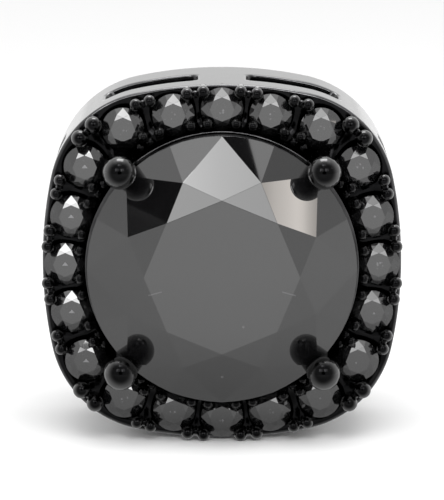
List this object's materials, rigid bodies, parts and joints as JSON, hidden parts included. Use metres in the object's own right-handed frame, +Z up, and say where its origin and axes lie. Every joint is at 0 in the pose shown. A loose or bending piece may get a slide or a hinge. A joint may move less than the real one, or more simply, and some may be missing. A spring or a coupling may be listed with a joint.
{
  "type": "magnetic stud earring",
  "caption": "Magnetic stud earring: a round stone on four prongs inside a cushion-shaped halo of small stones, on a deep windowed basket, held by a disc magnet behind the ear.",
  "frame": {"origin": "centre of the underside of the bounding box: the earring stands on one bowed side of its basket", "axes": "+Z up; -Y the way the stones face; +Y back along the magnets' axis, away from the stones; +X to the right for somebody who looks at the stones"},
  "size_m": [0.0086, 0.0074, 0.0087],
  "materials": {
    "metal": "black plated silver, polished",
    "centre_stone": "opaque black gem, faceted and polished",
    "halo_stones": "opaque black gem, faceted and polished",
    "magnets": "nickel plate, bright with a soft haze"
  },
  "bodies": {
    "earring": {"setting": "metal", "centre_stone": "centre_stone", "halo_stone_01": "halo_stones", "halo_stone_02": "halo_stones", "halo_stone_03": "halo_stones", "halo_stone_04": "halo_stones", "halo_stone_05": "halo_stones", "halo_stone_06": "halo_stones", "halo_stone_07": "halo_stones", "halo_stone_08": "halo_stones", "halo_stone_09": "halo_stones", "halo_stone_10": "halo_stones", "halo_stone_11": "halo_stones", "halo_stone_12": "halo_stones", "halo_stone_13": "halo_stones", "halo_stone_14": "halo_stones", "halo_stone_15": "halo_stones", "halo_stone_16": "halo_stones", "halo_stone_17": "halo_stones", "halo_stone_18": "halo_stones", "halo_stone_19": "halo_stones", "halo_stone_20": "halo_stones", "front_magnet": "magnets"},
    "loose_magnet": {"back_magnet": "magnets"}
  },
  "joints": [
    {"name": "magnet_pull", "type": "slide", "parent": "earring", "child": "loose_magnet", "axis": [0, 1, 0], "range_m": [0, 0.008], "stiffness_N_per_m": 1, "springref_m": -0.05}
  ]
}
